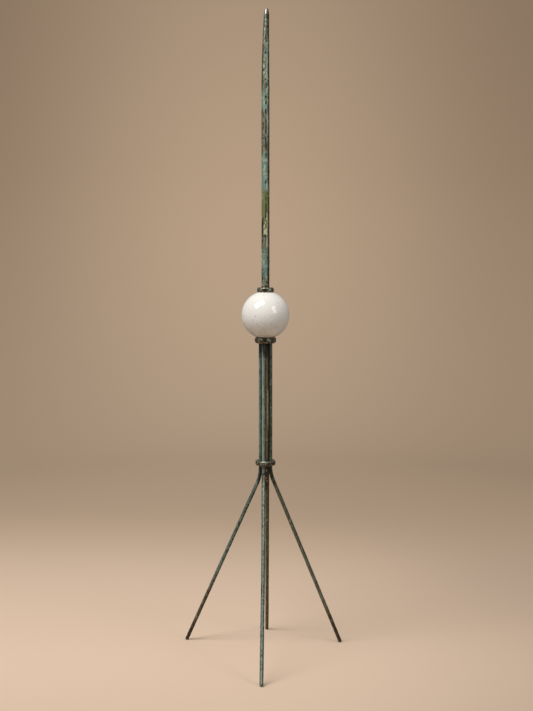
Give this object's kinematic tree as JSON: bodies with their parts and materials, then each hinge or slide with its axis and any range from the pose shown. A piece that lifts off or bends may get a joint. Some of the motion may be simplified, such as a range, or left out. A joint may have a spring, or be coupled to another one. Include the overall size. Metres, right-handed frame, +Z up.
{
  "type": "lightning rod",
  "caption": "Tall lightning rod: a tapered copper tube through a white glass ball held between collars, on a stand of splayed bars bound round a stem.",
  "frame": {"origin": "on the floor, midway between the outermost feet; the rod's axis stands 5.8 mm from it towards +X, because the hand-bent legs reach unevenly", "axes": "+Z up along the rod towards its tip, -Y the front as pictured, +X to the viewer's right"},
  "size_m": [0.3966, 0.4074, 1.546],
  "materials": {
    "silvered_tip": "silver plate over the bare metal, polished, slightly dulled",
    "copper_tube": "copper tube under mottled blue-green verdigris, with brown bare streaks and a cream crust",
    "collar_bronze": "dark bronze with worn grey-tan highlights and some verdigris",
    "white_glass": "opaque white milk glass, glossy, with fine brown specks",
    "stem_bar": "dark brown bar with rust specks and an ochre streak",
    "leg_bar": "bar under thin grey-green verdigris, browner towards the foot"
  },
  "bodies": {
    "root": {"tip": "silvered_tip", "rod": "copper_tube", "top_collar": "collar_bronze", "ball": "white_glass", "ball_collar": "collar_bronze", "stem": "stem_bar", "leg_ring": "collar_bronze", "leg_front": "leg_bar", "leg_right": "leg_bar", "leg_back": "leg_bar", "leg_left": "leg_bar"}
  },
  "joints": []
}
